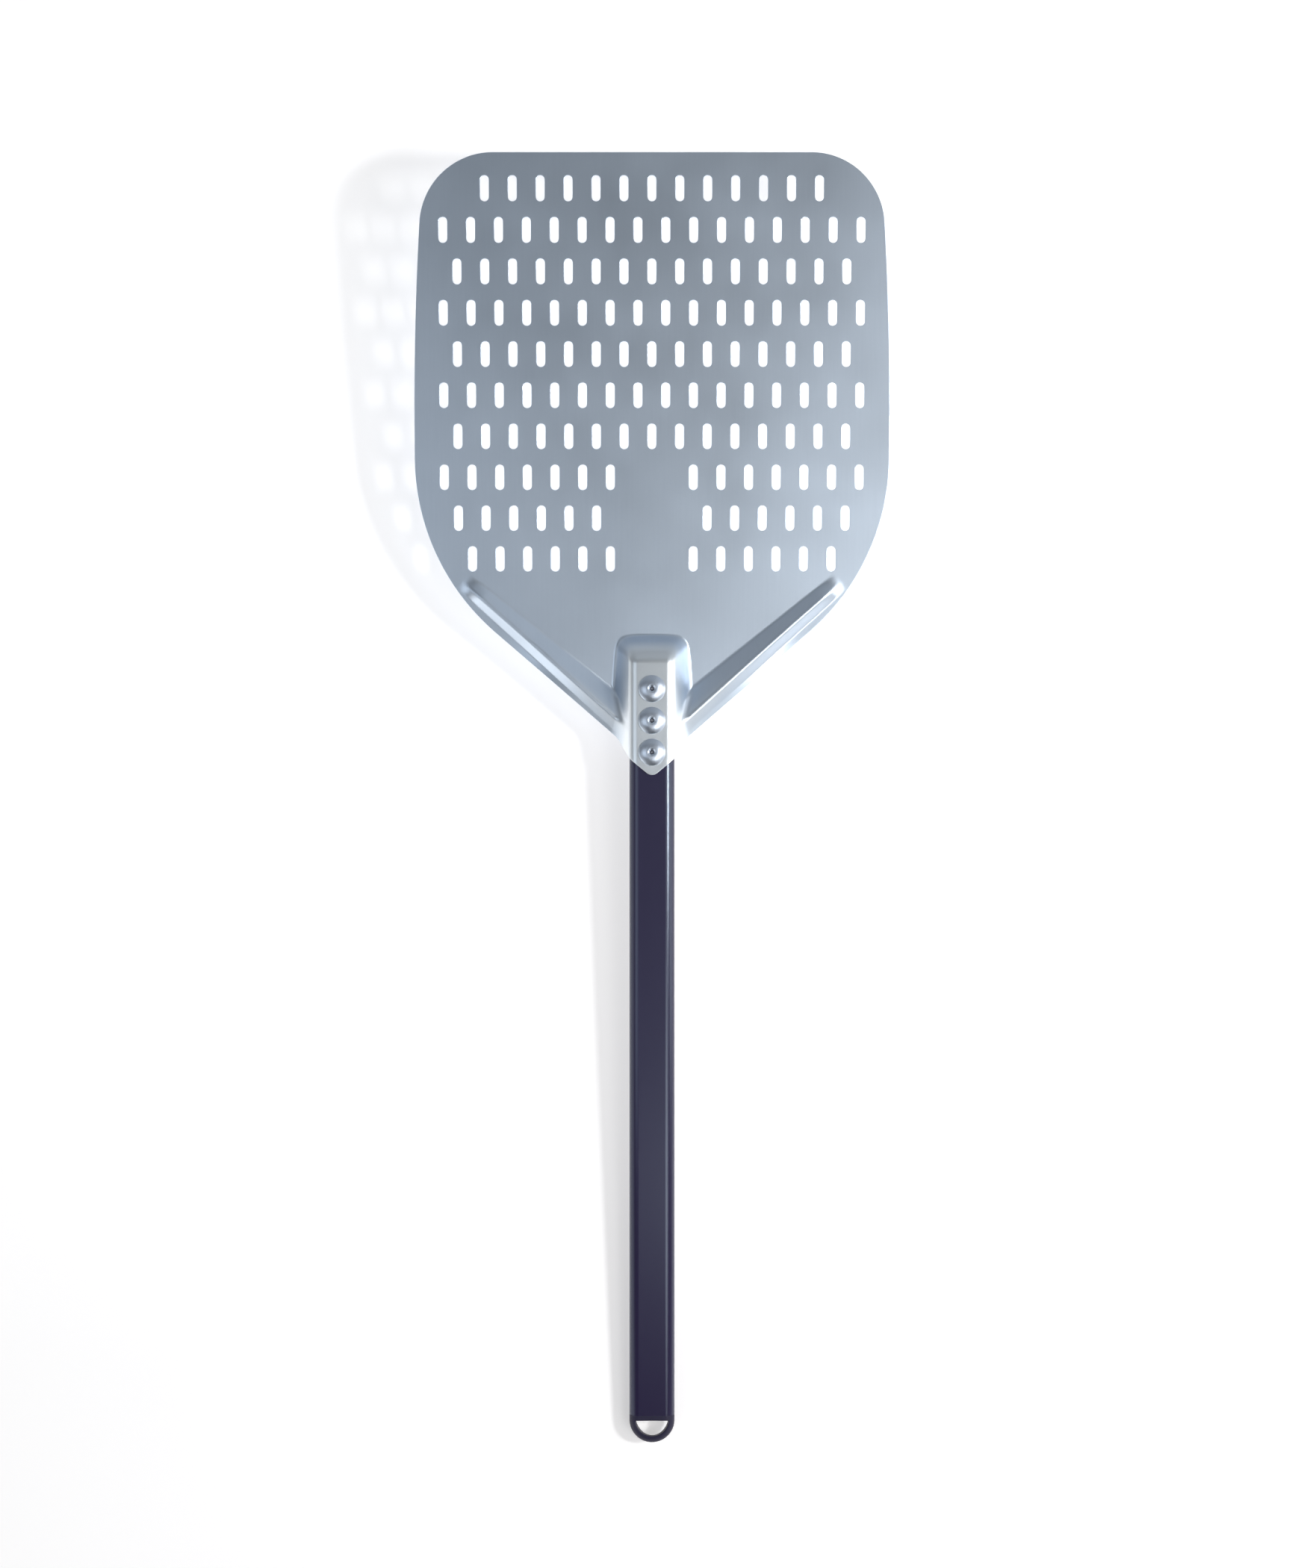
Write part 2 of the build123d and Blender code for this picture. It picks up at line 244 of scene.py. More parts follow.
def blade_outline():
    """The blade's outline, clockwise from the middle of the front edge."""
    cx, cy, side_radius = side_arc()
    corner_y = back(FRONT_CORNER_RADIUS)
    corner_x = cx + sqrt((side_radius - FRONT_CORNER_RADIUS) ** 2 - (corner_y - cy) ** 2)
    meet = np.arctan2(corner_y - cy, corner_x - cx)
    side_end = np.arctan2(back(SIDE_LENGTH) - cy, BLADE_HALF_WIDTH - cx)

    turn = pi / 2 - REAR_EDGE_ANGLE
    rear_centre = (BLADE_HALF_WIDTH - REAR_CORNER_RADIUS, back(REAR_CORNER_BACK))
    rear = arc_points(rear_centre, REAR_CORNER_RADIUS, 0, -turn)
    neck_back = (FRONT_Y - rear[-1][1]) + (rear[-1][0] - NECK_HALF_WIDTH) * tan(REAR_EDGE_ANGLE)
    tongue_back = neck_back + (NECK_HALF_WIDTH - TONGUE_HALF_WIDTH) * tan(FLANK_ANGLE)
    tip_back = tongue_back + TONGUE_HALF_WIDTH * tan(TONGUE_ANGLE)
    neck = (NECK_HALF_WIDTH, back(neck_back))
    tongue = (TONGUE_HALF_WIDTH, back(tongue_back))
    tip = (0.0, back(tip_back))

    right = [(0.0, back(0))]
    right += arc_points((corner_x, corner_y), FRONT_CORNER_RADIUS, pi / 2, meet)
    right += arc_points((cx, cy), side_radius, meet, side_end, 3.0)[1:]
    right += rear
    right += rounded_corner(rear[-1], neck, tongue, NECK_RADIUS)
    right += [tongue]
    point = rounded_corner(tongue, tip, (-tongue[0], tongue[1]), TONGUE_TIP_RADIUS)
    right += point[:len(point) // 2 + 1]
    right[-1] = (0.0, right[-1][1])
    loop = right + [(-x, y) for x, y in right[-2:0:-1]]

    return divided(loop)


def divided(loop):
    """A loop with points added between the ends of its long straight stretches."""
    fine = []
    for (x0, y0), (x1, y1) in zip(loop, loop[1:] + loop[:1]):
        spacing = 1.0 if min(y0, y1) < back(290.0) else 5.0
        pieces = max(1, int(hypot(x1 - x0, y1 - y0) / spacing))
        fine += [(x0 + (x1 - x0) * i / pieces, y0 + (y1 - y0) * i / pieces) for i in range(pieces)]
    return np.array(fine)


def slot_loops():
    """Outlines of all the slots, anticlockwise."""
    reach, radius = (SLOT_LENGTH - SLOT_WIDTH) / 2, SLOT_WIDTH / 2
    shape = arc_points((0, reach), radius, 0, pi, 0.8)
    shape += arc_points((0, -reach), radius, pi, 2 * pi, 0.8)
    shape.insert(len(shape) // 2, (-radius, 0.0))
    shape.append((radius, 0.0))
    shape = np.array(shape)
    loops = []
    for row, (first, last) in enumerate(SLOT_ROWS):
        y = back(FIRST_ROW_BACK + row * ROW_PITCH)
        for step in range(int(last - first) + 1):
            x = (first + step) * SLOT_PITCH
            loops += [shape + (side * x, y) for side in ((1, -1) if x else (1,))]
    return loops


def rivet_hole_loops():
    """Holes under the rivet heads, seen from above."""
    loops = []
    for place in RIVET_PLACES.values():
        centre = on_handle(0, place, HOOD_TOP) / MM
        loops.append(np.array(arc_points((centre.x, centre.y), SHANK_RADIUS + 0.05, 0, 2 * pi)[:-1]))
    return loops


def inside(loop, points):
    """Which points lie inside a closed loop."""
    result = np.zeros(len(points), bool)
    x, y = points[:, 0], points[:, 1]
    for (x0, y0), (x1, y1) in zip(loop, np.roll(loop, -1, 0)):
        crosses = (y0 > y) != (y1 > y)
        if crosses.any():
            result ^= crosses & (x < (x1 - x0) * (y - y0) / (y1 - y0 + 1e-12) + x0)
    return result


def anticlockwise(loop):
    """Whether a closed loop of points runs anticlockwise."""
    after = np.roll(loop, -1, 0)
    return np.sum(loop[:, 0] * after[:, 1] - after[:, 0] * loop[:, 1]) > 0


def loop_outward(loop, is_hole):
    """Unit directions, in plan, that point out of the metal at each point of a loop."""
    along = np.roll(loop, -1, 0) - loop
    along /= np.linalg.norm(along, axis=1)[:, None]
    mean = along + np.roll(along, 1, 0)
    mean /= np.linalg.norm(mean, axis=1)[:, None]
    right_hand = np.column_stack([mean[:, 1], -mean[:, 0]])
    return right_hand * (1 if anticlockwise(loop) else -1) * (-1 if is_hole else 1)


def staggered_rows(x_from, x_to, y_from, y_to, spacing):
    """Rows of points, each shifted by half a step from the row before."""
    rows = []
    for row, y in enumerate(np.arange(y_from, y_to, spacing * ROW_STEP)):
        xs = np.arange(x_from, x_to, spacing) + (row % 2) * spacing / 2
        rows.append(np.column_stack([xs, np.full_like(xs, y)]))
    return np.vstack(rows)


def fill_points(outline, holes):
    """Points inside the outline for the mesh: close together on the pressings, sparse elsewhere."""
    fine = staggered_rows(-150.0, 150.0, 30.0, back(288.0), GRID_FINE)
    u, w = rib_place(fine[:, 0], fine[:, 1])
    formed = (w > -2.5) & (u > -20)
    formed |= (np.abs(fine[:, 0]) < 31) & (fine[:, 1] < back(330.0))
    fine = fine[formed]

    flat = staggered_rows(-162.0, 163.0, 60.0, FRONT_Y, GRID_FLAT)
    u, w = rib_place(flat[:, 0], flat[:, 1])
    clear = ((w < -4.5) | (u < -22)) & ~((np.abs(flat[:, 0]) < 34) & (flat[:, 1] < back(326.0)))
    points = np.vstack([fine, flat[clear]])
    points = points[inside(outline, points)]
    borders = np.vstack([outline] + holes)
    keep = np.ones(len(points), bool)
    for i in range(0, len(points), 2000):
        block = points[i:i + 2000]
        gap = np.abs(block[:, None, :] - borders[None, :, :]).max(2).min(1)
        keep[i:i + 2000] = gap > 0.45
    points = points[keep]
    for hole in holes:
        points = points[~inside_hole(hole, points)]
    return points


def inside_hole(hole, points):
    """Which points lie inside a small loop; only those near it are worked out."""
    near = np.abs(points - hole.mean(0)).max(1) < HOLE_REACH
    result = np.zeros(len(points), bool)
    result[near] = inside(hole, points[near])
    return result


def triangulate(flat_points, rims, starts):
    """Triangles, anticlockwise, between the outline's rim and the holes' rims."""
    edges = []
    for start, rim in zip(starts, rims):
        n = len(rim)
        edges += [(start + i, start + (i + 1) % n) for i in range(n)]
    made = delaunay_2d_cdt([Vector(p) for p in flat_points], edges, [], 0, 1e-5, True)
    source = [ids[0] if len(ids) else -1 for ids in made[3]]
    faces = np.array([[source[v] for v in face] for face in made[2] if len(face) == 3])
    faces = faces[(faces >= 0).all(1)]
    centres = flat_points[faces].mean(1)
    keep = inside(rims[0], centres)
    for rim in rims[1:]:
        keep &= ~inside_hole(rim, centres)
    faces = faces[keep]
    a, b, c = (flat_points[faces[:, i]] for i in range(3))
    clockwise = (b[:, 0] - a[:, 0]) * (c[:, 1] - a[:, 1]) < (b[:, 1] - a[:, 1]) * (c[:, 0] - a[:, 0])
    faces[clockwise] = faces[clockwise][:, ::-1]
    return faces


def cut_edge(top, normal, out):
    """Rings of points and normals down a cut edge, from the upper face to the lower."""
    side = np.column_stack([out, np.zeros(len(out))])
    side -= normal * np.sum(side * normal, axis=1)[:, None]
    side /= np.linalg.norm(side, axis=1)[:, None]
    turns = [radians(a) for a in (30, 60, 90)]
    rings = []
    for low, angle in [(False, a) for a in turns] + [(True, a) for a in turns[::-1]]:
        drop = EDGE_ROUND * (1 - cos(angle))
        drop = SHEET - drop if low else drop
        rings.append((top + side * EDGE_ROUND * sin(angle) - normal * drop,
                      normal * cos(angle) * (-1 if low else 1) + side * sin(angle)))
    return rings


def build_blade():
    """The stamped sheet: upper face, lower face a sheet's thickness below, rounded cut edges."""
    loops = [blade_outline()] + slot_loops() + rivet_hole_loops()
    outward = [loop_outward(loop, i > 0) for i, loop in enumerate(loops)]
    rims = [loop - out * EDGE_ROUND for loop, out in zip(loops, outward)]
    flat_points = np.vstack(rims + [fill_points(rims[0], rims[1:])])
    starts = np.cumsum([0] + [len(r) for r in rims])
    faces = triangulate(flat_points, rims, starts)

    top, normal = skin_points(flat_points)
    count = len(top)
    points = [top, top - normal * SHEET]
    normals = [normal, -normal]
    polygons = [tuple(f) for f in faces] + [tuple(f[::-1] + count) for f in faces]
    total = 2 * count
    for index, (start, rim, out) in enumerate(zip(starts, rims, outward)):
        n = len(rim)
        rings = [np.arange(start, start + n)]
        for ring_points, ring_normals in cut_edge(top[start:start + n], normal[start:start + n], out):
            points.append(ring_points)
            normals.append(ring_normals)
            rings.append(np.arange(total, total + n))
            total += n
        rings.append(np.arange(start + count, start + count + n))
        flip = anticlockwise(rim) == (index > 0)
        for upper, lower in zip(rings, rings[1:]):
            for i in range(n):
                j = (i + 1) % n
                quad = (upper[i], lower[i], lower[j], upper[j])
                polygons.append(quad[::-1] if flip else quad)
    return mesh_object("blade_sheet", np.vstack(points) * MM, polygons, np.vstack(normals))


def mesh_object(name, points, polygons, normals=None):
    """A smooth-shaded object from points in metres, with normals at the points if given."""
    mesh = bpy.data.meshes.new(name)
    mesh.from_pydata([tuple(p) for p in points], [], [tuple(int(v) for v in f) for f in polygons])
    mesh.validate()
    mesh.polygons.foreach_set("use_smooth", [True] * len(mesh.polygons))
    if normals is not None:
        mesh.normals_split_custom_set_from_vertices([tuple(n) for n in normals])
    obj = bpy.data.objects.new(name, mesh)
    bpy.context.scene.collection.objects.link(obj)
    return obj


def rounded_profile(corners, pieces=4):
    """A polyline with its corners rounded: corners are (across, up, rounding)."""
    path = []
    count = len(corners)
    for i, (r, z, rounding) in enumerate(corners):
        if rounding == 0.0:
            path.append((r, z))
            continue
        here = Vector((r, z))
        to_last = Vector(corners[i - 1][:2]) - here
        to_next = Vector(corners[(i + 1) % count][:2]) - here
        first, last = here + to_last.normalized() * rounding, here + to_next.normalized() * rounding
        for step in range(pieces + 1):
            t = step / pieces
            path.append(tuple(first * (1 - t) ** 2 + here * 2 * t * (1 - t) + last * t * t))
    return path


def turned(name, place, corners, segments=96):
    """A closed body of revolution about the rivet axis at that place along the handle."""
    path = rounded_profile(corners)
    points, polygons = [], []
    for i in range(segments):
        angle = 2 * pi * i / segments
        for r, up in path:
            points.append(on_handle(r * cos(angle), place + r * sin(angle), up))
    n = len(path)
    for i in range(segments):
        here, after = i * n, (i + 1) % segments * n
        for j in range(n):
            k = (j + 1) % n
            polygons.append((here + j, here + k, after + k, after + j))
    return mesh_object(name, points, polygons)


def rivet_corners():
    """Half-section of a blind rivet: domed head with a set-in dimple, shank and bulb."""
    seat, crown = HOOD_TOP, HOOD_TOP + RIVET_HEAD_HEIGHT
    under = TUBE_HEIGHT / 2 - TUBE_WALL
    bulb_end = under - BULB_LENGTH
    corners = [(BORE_RADIUS, crown - DIMPLE_DEPTH, 0.12), (DIMPLE_RADIUS, crown - 0.02, 0.22)]
    steps = 14
    for i in range(1, steps):
        t = i / steps
        r = DIMPLE_RADIUS + (RIVET_HEAD_RADIUS - DIMPLE_RADIUS) * t
        dome = (RIVET_HEAD_HEIGHT - RIVET_RIM - 0.02) * (1 - t * t)
        corners.append((r, seat + RIVET_RIM + dome, 0.0))
    corners += [(RIVET_HEAD_RADIUS, seat + RIVET_RIM - 0.05, 0.25), (RIVET_HEAD_RADIUS - 0.1, seat, 0.1),
                (SHANK_RADIUS, seat, 0.05), (SHANK_RADIUS, under, 0.05), (BULB_RADIUS, under, 0.3),
                (BULB_RADIUS, bulb_end, 0.8), (BORE_RADIUS, bulb_end, 0.1)]
    return corners


def mandrel_corners():
    """Half-section of the steel pin left in the rivet, broken off inside the bore."""
    top = HOOD_TOP + RIVET_HEAD_HEIGHT - MANDREL_SETBACK
    head = TUBE_HEIGHT / 2 - TUBE_WALL - BULB_LENGTH
    foot = head - MANDREL_HEAD_LENGTH
    return [(0.02, top + 0.25, 0.0), (0.9, top + 0.05, 0.1), (MANDREL_RADIUS, top - 0.45, 0.12),
            (MANDREL_RADIUS, head, 0.05), (MANDREL_HEAD_RADIUS, head, 0.2),
            (MANDREL_HEAD_RADIUS, head - 1.6, 0.4), (1.2, foot, 0.3), (0.02, foot, 0.0)]


# ---- the end cap ----------------------------------------------------------------------------
def outside_loop(across, rearward):
    """How far a point lies outside the cap's outline."""
    past = np.maximum(rearward - LOOP_CENTRE, 0.0)
    return np.maximum(np.hypot(across, past) - LOOP_RADIUS, TUBE_LENGTH - rearward)


def outside_eye(across, rearward):
    """How far a point lies outside the D-shaped eye."""
    arc = np.hypot(across, rearward - EYE_CENTRE) - EYE_RADIUS
    return blend_max(arc, EYE_FLAT - rearward, EYE_CORNER)


def rays_to(outside, start, directions):
    """Where rays from a point inside a convex outline meet it."""
    near, far = np.zeros(len(directions)), np.full(len(directions), 60.0)
    for _ in range(40):
        middle = (near + far) / 2
        points = start + directions * middle[:, None]
        beyond = outside(points[:, 0], points[:, 1]) > 0
        near, far = np.where(beyond, near, middle), np.where(beyond, middle, far)
    return start + directions * near[:, None]


def cap_height(points):
    """Half the cap's thickness: it has the tube's rounded section, carried round the loop."""
    past = np.maximum(points[:, 1] - LOOP_CENTRE, 0.0)
    inset = np.clip(LOOP_RADIUS - np.hypot(points[:, 0], past), 0.0, TUBE_RADIUS)
    return TUBE_HEIGHT / 2 - TUBE_RADIUS + np.sqrt(2 * TUBE_RADIUS * inset - inset ** 2)


def cap_loop():
    """The loop, as sections from the eye out over the top, round the rim and back underneath."""
    start = np.array([0.0, EYE_FLAT + 4.0])
    corner = np.arctan2(TUBE_LENGTH - start[1], LOOP_RADIUS)
    angles = np.sort(np.append(np.linspace(-pi, pi, 200, endpoint=False), [corner, -pi - corner]))
    directions = np.column_stack([np.cos(angles), np.sin(angles)])
    rim = rays_to(outside_loop, start, directions)
    eye = rays_to(outside_eye, start, directions)
    low_eye = np.column_stack([eye[:, 0], EYE_FLAT + (eye[:, 1] - EYE_FLAT) * EYE_DRAFT])
    steps = (1 - np.cos(np.linspace(0, pi, 25))) / 2
    rings = []
    for edge, sign, order in ((eye, 1, steps), (low_eye, -1, steps[::-1])):
        for step in order:
            at = edge + (rim - edge) * step
            short = EYE_ROUND - np.minimum(np.linalg.norm(at - edge, axis=1), EYE_ROUND)
            height = cap_height(at) - EYE_ROUND + np.sqrt(EYE_ROUND ** 2 - short ** 2)
            rings.append(np.column_stack([at, sign * height]))
    points = [on_handle(*p) for ring in rings for p in ring]
    count = len(angles)
    polygons = []
    for i in range(len(rings)):
        here, after = i * count, (i + 1) % len(rings) * count
        for j in range(count):
            k = (j + 1) % count
            polygons.append((here + j, after + j, after + k, here + k))
    return points, polygons


def cap_plug(first):
    """The plug inside the tube; its points are numbered from first."""
    wide, high = TUBE_WIDTH / 2 - PLUG_INSET, TUBE_HEIGHT / 2 - PLUG_INSET
    radius = TUBE_RADIUS - PLUG_INSET
    front = TUBE_LENGTH - PLUG_LENGTH
    points = []
    for rearward, shrink in ((front, PLUG_CHAMFER), (front + PLUG_CHAMFER, 0.0), (TUBE_LENGTH + 0.5, 0.0)):
        for turn, (x, z) in enumerate(((1, 1), (-1, 1), (-1, -1), (1, -1))):
            centre = (x * (wide - radius), z * (high - radius))
            quarter = arc_points(centre, radius - shrink, turn * pi / 2, (turn + 1) * pi / 2, 1.0)
            points += [on_handle(across, rearward, up) for across, up in quarter]
    side = len(points) // 3
    polygons = []
    for ring in range(2):
        here = first + ring * side
        for j in range(side):
            k = (j + 1) % side
            polygons.append((here + j, here + k, here + side + k, here + side + j))
    polygons.append(tuple(range(first + side - 1, first - 1, -1)))
    polygons.append(tuple(range(first + 2 * side, first + 3 * side)))
    return points, polygons


def build_cap():
    """The hanging loop and its plug, as one piece."""
    points, polygons = cap_loop()
    plug_points, plug_polygons = cap_plug(len(points))
    cap = mesh_object("end_cap_moulded", points + plug_points, polygons + plug_polygons)
    cap.data.set_sharp_from_angle(angle=radians(50))
    return cap


# ---- materials ------------------------------------------------------------------------------
PAINTED_HIGHLIGHT_HEIGHTS = (0.007, 0.016)            # painted highlight: the sheet's colour is painted paler between these heights, on the raised hood and ribs


def new_material(name):
    """A material with one Principled shader, and its nodes and links."""
    material = bpy.data.materials.new(name)
    material.use_nodes = True
    nodes = material.node_tree.nodes
    nodes.clear()
    shader = nodes.new("ShaderNodeBsdfPrincipled")
    output = nodes.new("ShaderNodeOutputMaterial")
    material.node_tree.links.new(shader.outputs["BSDF"], output.inputs["Surface"])
    return material, nodes, material.node_tree.links, shader


def noise(nodes, links, scale, stretch=(1, 1, 1), detail=3.0, roughness=0.55):
    """Noise in the object's own coordinates, in cycles per metre, stretched along its axes."""
    place = nodes.new("ShaderNodeTexCoord")
    mapping = nodes.new("ShaderNodeMapping")
    mapping.inputs["Scale"].default_value = stretch
    texture = nodes.new("ShaderNodeTexNoise")
    texture.inputs["Scale"].default_value = scale
    texture.inputs["Detail"].default_value = detail
    texture.inputs["Roughness"].default_value = roughness
    links.new(place.outputs["Object"], mapping.inputs["Vector"])
    links.new(mapping.outputs["Vector"], texture.inputs["Vector"])
    return texture.outputs["Fac"]


def spread(nodes, links, value, low, high):
    """A noise value turned into a range of roughness."""
    scale = nodes.new("ShaderNodeMapRange")
    scale.inputs["From Min"].default_value = 0.3
    scale.inputs["From Max"].default_value = 0.7
    scale.inputs["To Min"].default_value = low
    scale.inputs["To Max"].default_value = high
    links.new(value, scale.inputs["Value"])
    return scale.outputs["Result"]


def ramp(nodes, links, value, dark, light):
    """A noise value turned into a mix of two colours."""
    colours = nodes.new("ShaderNodeValToRGB")
    colours.color_ramp.elements[0].position = 0.3
    colours.color_ramp.elements[0].color = (*dark, 1)
    colours.color_ramp.elements[1].position = 0.7
    colours.color_ramp.elements[1].color = (*light, 1)
    links.new(value, colours.inputs["Fac"])
    return colours.outputs["Color"]


def bump(nodes, links, value, distance, strength=1.0, under=None):
    """A noise value turned into relief, that high in metres, over any relief under it."""
    node = nodes.new("ShaderNodeBump")
    node.inputs["Strength"].default_value = strength
    node.inputs["Distance"].default_value = distance
    links.new(value, node.inputs["Height"])
    if under is not None:
        links.new(under, node.inputs["Normal"])
    return node.outputs["Normal"]


def satin_aluminium():
    """Clear anodised sheet: cool grey with fine grain and faint streaks, with a painted highlight that
    makes it paler higher up, on the hood and ribs.
    """
    material, nodes, links, shader = new_material("satin_aluminium")
    shader.inputs["Metallic"].default_value = 1.0
    streaks = noise(nodes, links, 60.0, (9, 0.35, 1), 4.0)
    cloud = noise(nodes, links, 14.0, (1, 1, 1), 3.0)
    grain = noise(nodes, links, 2600.0, (1, 1, 1), 2.0)
    place = nodes.new("ShaderNodeTexCoord")
    height = nodes.new("ShaderNodeSeparateXYZ")
    links.new(place.outputs["Object"], height.inputs["Vector"])
    # painted highlight: the colour turns paler with height, standing in for light falling on the raised
    # hood and ribs
    painted_highlight_mask = nodes.new("ShaderNodeMapRange")
    painted_highlight_mask.inputs["From Min"].default_value, painted_highlight_mask.inputs["From Max"].default_value = PAINTED_HIGHLIGHT_HEIGHTS
    links.new(height.outputs["Z"], painted_highlight_mask.inputs["Value"])
    colour = nodes.new("ShaderNodeMix")
    colour.data_type = "RGBA"
    links.new(painted_highlight_mask.outputs["Result"], colour.inputs["Factor"])
    links.new(ramp(nodes, links, streaks, (0.700, 0.785, 0.895), (0.715, 0.800, 0.910)),
              colour.inputs["A"])
    # the painted highlight's colour, reached at the top of that height range
    colour.inputs["B"].default_value = (0.92, 0.965, 1.0, 1)
    links.new(colour.outputs["Result"], shader.inputs["Base Color"])
    links.new(spread(nodes, links, cloud, 0.36, 0.40), shader.inputs["Roughness"])
    fine = bump(nodes, links, grain, 0.00001, 0.5)
    links.new(bump(nodes, links, streaks, 0.00001, 0.1, fine), shader.inputs["Normal"])
    return material


def navy_anodised():
    """Dark navy anodised tube with a faint grain along it from the drawing of the tube."""
    material, nodes, links, shader = new_material("navy_anodised")
    shader.inputs["IOR"].default_value = 1.65
    shader.inputs["Specular Tint"].default_value = (0.74, 0.86, 1.0, 1)
    shader.inputs["Anisotropic"].default_value = 0.65
    shader.inputs["Anisotropic Rotation"].default_value = 0.25
    along = nodes.new("ShaderNodeCombineXYZ")
    along.inputs["Y"].default_value = 1.0
    links.new(along.outputs["Vector"], shader.inputs["Tangent"])
    grain = noise(nodes, links, 900.0, (1, 0.03, 1), 3.0)
    cloud = noise(nodes, links, 25.0, (1, 0.4, 1), 3.0)
    links.new(ramp(nodes, links, cloud, (0.023, 0.015, 0.051), (0.025, 0.017, 0.054)),
              shader.inputs["Base Color"])
    links.new(spread(nodes, links, grain, 0.235, 0.245), shader.inputs["Roughness"])
    links.new(bump(nodes, links, grain, 0.00001, 0.05), shader.inputs["Normal"])
    return material


def cap_plastic():
    """Fine-textured plastic, dark navy, nearly black."""
    material, nodes, links, shader = new_material("cap_plastic")
    texture = noise(nodes, links, 2200.0, (1, 1, 1), 2.0)
    cloud = noise(nodes, links, 60.0, (1, 1, 1), 2.0)
    links.new(ramp(nodes, links, cloud, (0.025, 0.022, 0.050), (0.028, 0.025, 0.055)),
              shader.inputs["Base Color"])
    shader.inputs["Specular IOR Level"].default_value = 0.25
    links.new(spread(nodes, links, texture, 0.42, 0.52), shader.inputs["Roughness"])
    links.new(bump(nodes, links, texture, 0.00002, 0.3), shader.inputs["Normal"])
    return material


def rivet_aluminium():
    """Bright formed aluminium with slight marks of the setting tool."""
    material, nodes, links, shader = new_material("rivet_aluminium")
    shader.inputs["Metallic"].default_value = 1.0
    cloud = noise(nodes, links, 220.0, (1, 1, 1), 4.0)
    grain = noise(nodes, links, 1500.0, (1, 1, 1), 2.0)
    links.new(ramp(nodes, links, cloud, (0.68, 0.75, 0.86), (0.72, 0.79, 0.89)),
              shader.inputs["Base Color"])
    links.new(spread(nodes, links, cloud, 0.34, 0.38), shader.inputs["Roughness"])
    links.new(bump(nodes, links, grain, 0.00001, 0.3), shader.inputs["Normal"])
    return material


def mandrel_steel():
    """Dull, broken-off steel."""
    material, nodes, links, shader = new_material("mandrel_steel")
    shader.inputs["Metallic"].default_value = 1.0
    cloud = noise(nodes, links, 1400.0, (1, 1, 1), 3.0)
    links.new(ramp(nodes, links, cloud, (0.16, 0.16, 0.18), (0.26, 0.26, 0.28)),
              shader.inputs["Base Color"])
    links.new(spread(nodes, links, cloud, 0.45, 0.6), shader.inputs["Roughness"])
    links.new(bump(nodes, links, cloud, 0.00005, 0.5), shader.inputs["Normal"])
    return material


def pale_floor():
    """Matt white backdrop that gives off some light of its own, more under the blade."""
    material, nodes, links, shader = new_material("pale_floor")
    cloud = noise(nodes, links, 3.0)
    links.new(ramp(nodes, links, cloud, (0.925, 0.90, 0.895), (0.935, 0.91, 0.905)),
              shader.inputs["Base Color"])
    shader.inputs["Roughness"].default_value = 0.9
    shader.inputs["Specular IOR Level"].default_value = 0.0
    place = nodes.new("ShaderNodeTexCoord")
    along = nodes.new("ShaderNodeSeparateXYZ")
    links.new(place.outputs["Object"], along.inputs["Vector"])
    glow = nodes.new("ShaderNodeMapRange")
    glow.inputs["From Min"].default_value = -0.4
    glow.inputs["From Max"].default_value = 0.3
    glow.inputs["To Min"].default_value = 0.40
    glow.inputs["To Max"].default_value = 0.56
    links.new(along.outputs["Y"], glow.inputs["Value"])
    links.new(glow.outputs["Result"], shader.inputs["Emission Strength"])
    shader.inputs["Emission Color"].default_value = (1.0, 0.985, 0.97, 1)
    return material


def dress(obj, material):
    """Give an object one material all over."""
    obj.data.materials.clear()
    obj.data.materials.append(material)


# ---- the object -----------------------------------------------------------------------------
blade = build_blade()
dress(blade, satin_aluminium())
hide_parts("blade")
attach(blade, "root")

rivet_material, mandrel_material = rivet_aluminium(), mandrel_steel()
for name, place in RIVET_PLACES.items():
    for kind, corners, material, slot_name in (
            ("rivet", rivet_corners(), rivet_material, "rivet_aluminium"),
            ("mandrel", mandrel_corners(), mandrel_material, "mandrel_steel")):
        piece = turned(f"{kind}_{name}_turned", place, corners)
        dress(piece, material)
        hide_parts(f"{kind}_{name}")
        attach(piece, "root")

cap = build_cap()
dress(cap, cap_plastic())
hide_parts("end_cap")
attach(cap, "root")

tube_material = navy_anodised()
for slot in bpy.data.objects["handle_tube"].material_slots:
    slot.material = tube_material

# ---- floor, lights and camera ---------------------------------------------------------------
FLOOR_TILT = -0.155                      # the backdrop falls away under the blade
FLOOR_GAP = 0.002                        # below the end cap
FLOOR_HALF = 8.0
NEUTRAL, COOL = (0.94, 0.955, 0.96), (0.86, 0.94, 1.03)
CAMERA_LEAN = radians(-5.0)              # square to the handle
CAMERA_PLACE, CAMERA_LENS = (0, 0.16565, 1.78518), 58.29


def build_floor():
    """A large plain backdrop under the peel."""
    floor_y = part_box("end_cap")[0].y
    floor_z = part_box("end_cap")[0].z - FLOOR_GAP
    corners = [(-FLOOR_HALF, -FLOOR_HALF), (FLOOR_HALF, -FLOOR_HALF),
               (FLOOR_HALF, FLOOR_HALF), (-FLOOR_HALF, FLOOR_HALF)]
    points = [(x, y, floor_z + (y - floor_y) * FLOOR_TILT) for x, y in corners]
    floor = mesh_object("floor", points, [(0, 1, 2, 3)])
    dress(floor, pale_floor())
    return floor


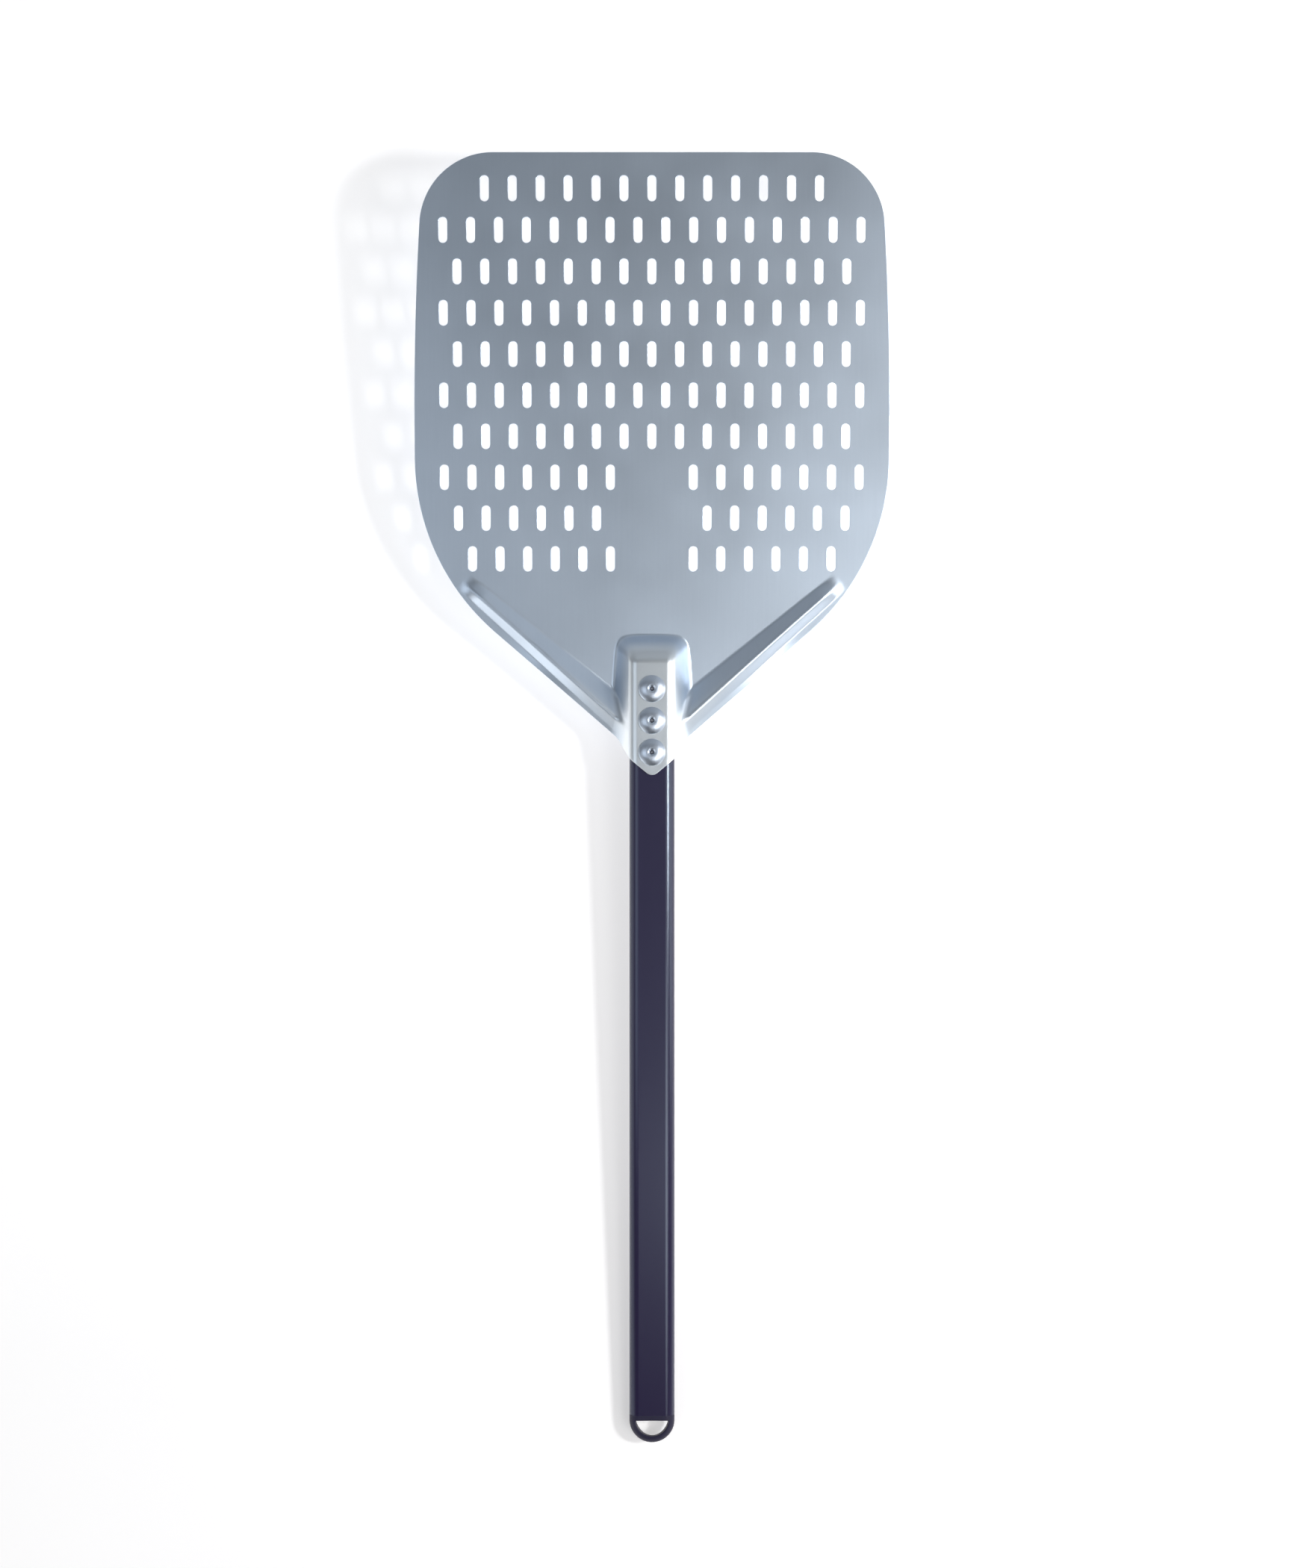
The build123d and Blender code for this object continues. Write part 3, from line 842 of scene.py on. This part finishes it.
def softbox(name, lean, bearing, distance, size, power, colour=COOL):
    """A soft studio light out of the picture, its width level, aimed at the middle of the peel.

    It leans that many degrees from straight overhead towards the bearing (0 right, 90 front).
    """
    aim = Vector((0, 0.1, 0))
    place = aim + distance * Vector((sin(radians(lean)) * cos(radians(bearing)),
                                     sin(radians(lean)) * sin(radians(bearing)), cos(radians(lean))))
    light = bpy.data.lights.new(name, "AREA")
    light.shape = "RECTANGLE"
    light.size, light.size_y = size
    light.energy = power
    light.color = colour
    obj = bpy.data.objects.new(name, light)
    obj.location = place
    obj.rotation_euler = (aim - place).to_track_quat("-Z", "Y").to_euler()
    obj.visible_camera = False
    bpy.context.scene.collection.objects.link(obj)


def studio_walls():
    """Pale walls low down around the peel and a dark room above them."""
    world = bpy.data.worlds.new("studio")
    world.use_nodes = True
    nodes, links = world.node_tree.nodes, world.node_tree.links
    direction = nodes.new("ShaderNodeTexCoord")
    up = nodes.new("ShaderNodeSeparateXYZ")
    links.new(direction.outputs["Generated"], up.inputs["Vector"])
    fade = nodes.new("ShaderNodeMapRange")
    fade.interpolation_type = "SMOOTHSTEP"
    fade.inputs["From Min"].default_value = 0.05
    fade.inputs["From Max"].default_value = 0.42
    fade.inputs["To Min"].default_value = 0.55
    fade.inputs["To Max"].default_value = 0.02
    links.new(up.outputs["Z"], fade.inputs["Value"])
    background = nodes["Background"]
    background.inputs["Color"].default_value = (0.92, 0.96, 1.0, 1)
    links.new(fade.outputs["Result"], background.inputs["Strength"])
    return world


floor = build_floor()

softbox("key", 35, 3, 2.0, (0.24, 0.24), 17.0, NEUTRAL)
softbox("near", 25, -45, 1.5, (0.50, 0.50), 3.5, NEUTRAL)
softbox("right", 72, 0, 2.2, (1.0, 1.1), 8.0, NEUTRAL)
softbox("right_rear", 68, -45, 2.2, (1.1, 1.1), 4.0, NEUTRAL)
softbox("left_rear", 65, -135, 2.2, (1.1, 1.1), 4.5, NEUTRAL)
softbox("left", 74, -162, 2.2, (1.7, 1.2), 4.5, NEUTRAL)
softbox("left_high", 28, 180, 2.4, (0.9, 1.3), 5.5)
softbox("right_front", 60, 45, 2.2, (1.1, 1.1), 2.0)
softbox("front", 50, 90, 2.2, (1.8, 1.6), 3.0)
softbox("left_front", 60, 135, 2.2, (1.1, 1.1), 1.0)
bpy.context.scene.world = studio_walls()
bpy.context.scene.view_settings.view_transform = "Standard"

camera = bpy.data.cameras.new("camera")
camera.sensor_width = 36.0
camera.lens = CAMERA_LENS
camera.clip_start, camera.clip_end = 0.05, 50.0
view = bpy.data.objects.new("camera", camera)
view.location = CAMERA_PLACE
view.rotation_euler = (CAMERA_LEAN, 0, 0)
bpy.context.scene.collection.objects.link(view)
bpy.context.scene.camera = view
